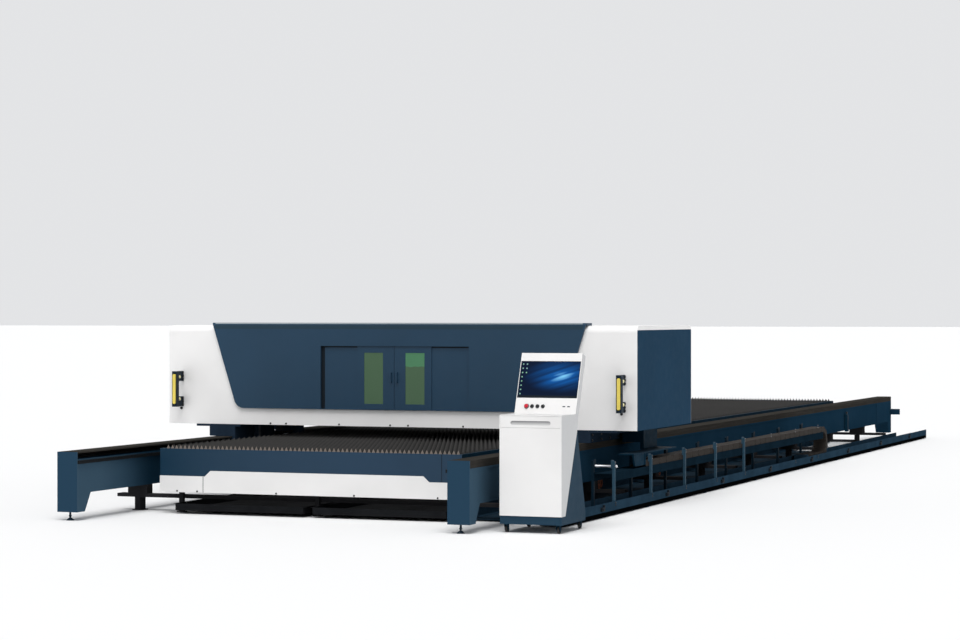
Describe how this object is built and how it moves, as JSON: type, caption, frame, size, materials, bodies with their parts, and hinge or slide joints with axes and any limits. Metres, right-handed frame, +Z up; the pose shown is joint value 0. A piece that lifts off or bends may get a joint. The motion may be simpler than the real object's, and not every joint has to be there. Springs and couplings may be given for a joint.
{
  "type": "gantry laser cutting machine",
  "caption": "Long gantry laser cutting machine: a covered gantry travels on floor rails over a slat table, with sliding doors, a towed drag chain, slag trays and a console.",
  "frame": {"origin": "on the floor, in the middle of the whole object's box", "axes": "+Y along the rails away from the operator's end, +X to the operator's right, +Z up"},
  "size_m": [5.659, 19.176, 1.921],
  "materials": {
    "navy_paint": "satin powder coat",
    "deep_navy_paint": "satin paint",
    "white_paint": "satin powder coat",
    "grey_paint": "satin paint",
    "cover_sheet": "matt dark coat",
    "slat_steel": "dull, heat stained",
    "ground_steel": "ground",
    "galvanised": "galvanised",
    "bright_steel": "polished",
    "chain_plastic": "matt",
    "black_parts": "matt black",
    "lens_yellow": "gloss",
    "window_green": "laser safety glass",
    "anodised": "anodised",
    "screen_glass": "glossy screen",
    "button_red": "gloss",
    "button_black": "gloss",
    "wheel_rubber": "matt"
  },
  "bodies": {
    "base": {"rail_beam_left": "navy_paint", "rail_beam_right": "navy_paint", "rail_covers": "cover_sheet", "guide_rails": "ground_steel", "levelling_feet": "black_parts", "cross_sleepers": "deep_navy_paint", "table_side_beams": "deep_navy_paint", "table_aprons": "navy_paint", "table_front_skirt": "white_paint", "table_grid": "deep_navy_paint", "table_legs": "deep_navy_paint", "slats": "slat_steel", "suction_dampers": "deep_navy_paint", "chain_channel": "deep_navy_paint", "chain_posts": "deep_navy_paint", "chain_trough": "deep_navy_paint", "front_roller": "bright_steel", "drag_chain_lower": "chain_plastic", "junction_box": "deep_navy_paint", "console_body": "white_paint", "console_rear": "navy_paint", "console_head": "white_paint", "console_screen": "screen_glass", "caster_fork_3": "galvanised", "caster_fork_4": "galvanised"},
    "gantry": {"saddles": "deep_navy_paint", "guide_blocks": "ground_steel", "gantry_beam": "white_paint", "hood_frame": "white_paint", "hood_shell": "white_paint", "hood_sides": "navy_paint", "hood_front_panel": "navy_paint", "light_curtains": "black_parts", "light_curtain_lenses": "lens_yellow", "drive_motors": "black_parts", "tow_arm": "deep_navy_paint", "drag_chain_upper": "chain_plastic"},
    "chain_bend": {"drag_chain_loop": "chain_plastic"},
    "left_pinion": {"pinion_left": "ground_steel"},
    "right_pinion": {"pinion_right": "ground_steel"},
    "left_door": {"door_left": "navy_paint", "window_left": "window_green"},
    "right_door": {"door_right": "navy_paint", "window_right": "window_green"},
    "carriage": {"head_carriage": "anodised"},
    "head": {"z_slide": "anodised", "cutting_head": "anodised"},
    "left_tray": {"slag_tray_left": "grey_paint"},
    "right_tray": {"slag_tray_right": "grey_paint"},
    "drawer": {"keyboard_drawer": "white_paint"},
    "stop_button": {"estop_button": "button_red"},
    "button_1": {"push_button_1": "button_black"},
    "button_2": {"push_button_2": "button_black"},
    "button_3": {"push_button_3": "button_black"},
    "swivel_1": {"caster_fork_1": "galvanised"},
    "swivel_2": {"caster_fork_2": "galvanised"},
    "wheel_1": {"caster_wheel_1": "wheel_rubber"},
    "wheel_2": {"caster_wheel_2": "wheel_rubber"},
    "wheel_3": {"caster_wheel_3": "wheel_rubber"},
    "wheel_4": {"caster_wheel_4": "wheel_rubber"}
  },
  "joints": [
    {"name": "gantry_travel", "type": "slide", "parent": "base", "child": "gantry", "axis": [0, 1, 0], "range_m": [0, 12.4], "deforming": ["drag_chain_upper"]},
    {"name": "chain_bend_travel", "type": "slide", "parent": "base", "child": "chain_bend", "axis": [0, 1, 0], "range_m": [0, 6.2], "deforming": ["drag_chain_lower"]},
    {"name": "left_pinion_spin", "type": "hinge", "parent": "gantry", "child": "left_pinion", "pos_m": [-1.9835, -5.742, 0.572], "axis": [0, 0, 1], "continuous": true},
    {"name": "right_pinion_spin", "type": "hinge", "parent": "gantry", "child": "right_pinion", "pos_m": [1.7525, -5.742, 0.572], "axis": [0, 0, 1], "continuous": true},
    {"name": "head_travel", "type": "slide", "parent": "gantry", "child": "carriage", "axis": [1, 0, 0], "range_m": [-1.4, 1.4]},
    {"name": "head_lift", "type": "slide", "parent": "carriage", "child": "head", "axis": [0, 0, 1], "range_m": [-0.15, 0]},
    {"name": "left_door_slide", "type": "slide", "parent": "gantry", "child": "left_door", "axis": [-1, 0, 0], "range_m": [0, 0.425]},
    {"name": "right_door_slide", "type": "slide", "parent": "gantry", "child": "right_door", "axis": [1, 0, 0], "range_m": [0, 0.425]},
    {"name": "left_tray_pull", "type": "slide", "parent": "base", "child": "left_tray", "axis": [0, -1, 0], "range_m": [0, 2.2]},
    {"name": "right_tray_pull", "type": "slide", "parent": "base", "child": "right_tray", "axis": [0, -1, 0], "range_m": [0, 2.2]},
    {"name": "drawer_pull", "type": "slide", "parent": "base", "child": "drawer", "axis": [0, -1, 0], "range_m": [0, 0.28]},
    {"name": "stop_button_press", "type": "slide", "parent": "base", "child": "stop_button", "axis": [0, 0.9367, -0.3502], "range_m": [0, 0.004], "stiffness_N_per_m": 600},
    {"name": "button_1_press", "type": "slide", "parent": "base", "child": "button_1", "axis": [0, 0.9367, -0.3502], "range_m": [0, 0.004], "stiffness_N_per_m": 600},
    {"name": "button_2_press", "type": "slide", "parent": "base", "child": "button_2", "axis": [0, 0.9367, -0.3502], "range_m": [0, 0.004], "stiffness_N_per_m": 600},
    {"name": "button_3_press", "type": "slide", "parent": "base", "child": "button_3", "axis": [0, 0.9367, -0.3502], "range_m": [0, 0.004], "stiffness_N_per_m": 600},
    {"name": "caster_swivel_1", "type": "hinge", "parent": "base", "child": "swivel_1", "pos_m": [2.2745, -9.252, 0.07], "axis": [0, 0, 1], "continuous": true},
    {"name": "caster_wheel_1_spin", "type": "hinge", "parent": "swivel_1", "child": "wheel_1", "pos_m": [2.2745, -9.234, 0.032], "axis": [1, 0, 0], "continuous": true},
    {"name": "caster_swivel_2", "type": "hinge", "parent": "base", "child": "swivel_2", "pos_m": [2.7805, -9.252, 0.07], "axis": [0, 0, 1], "continuous": true},
    {"name": "caster_wheel_2_spin", "type": "hinge", "parent": "swivel_2", "child": "wheel_2", "pos_m": [2.7805, -9.234, 0.032], "axis": [1, 0, 0], "continuous": true},
    {"name": "caster_wheel_3_spin", "type": "hinge", "parent": "base", "child": "wheel_3", "pos_m": [2.2745, -8.634, 0.032], "axis": [1, 0, 0], "continuous": true},
    {"name": "caster_wheel_4_spin", "type": "hinge", "parent": "base", "child": "wheel_4", "pos_m": [2.7805, -8.634, 0.032], "axis": [1, 0, 0], "continuous": true}
  ],
  "couplings": [
    {"joint": "chain_bend_travel", "follows": "gantry_travel", "ratio": 0.5},
    {"joint": "right_pinion_spin", "follows": "gantry_travel", "rad_per_m": -21.739},
    {"joint": "left_pinion_spin", "follows": "gantry_travel", "rad_per_m": 21.739}
  ]
}
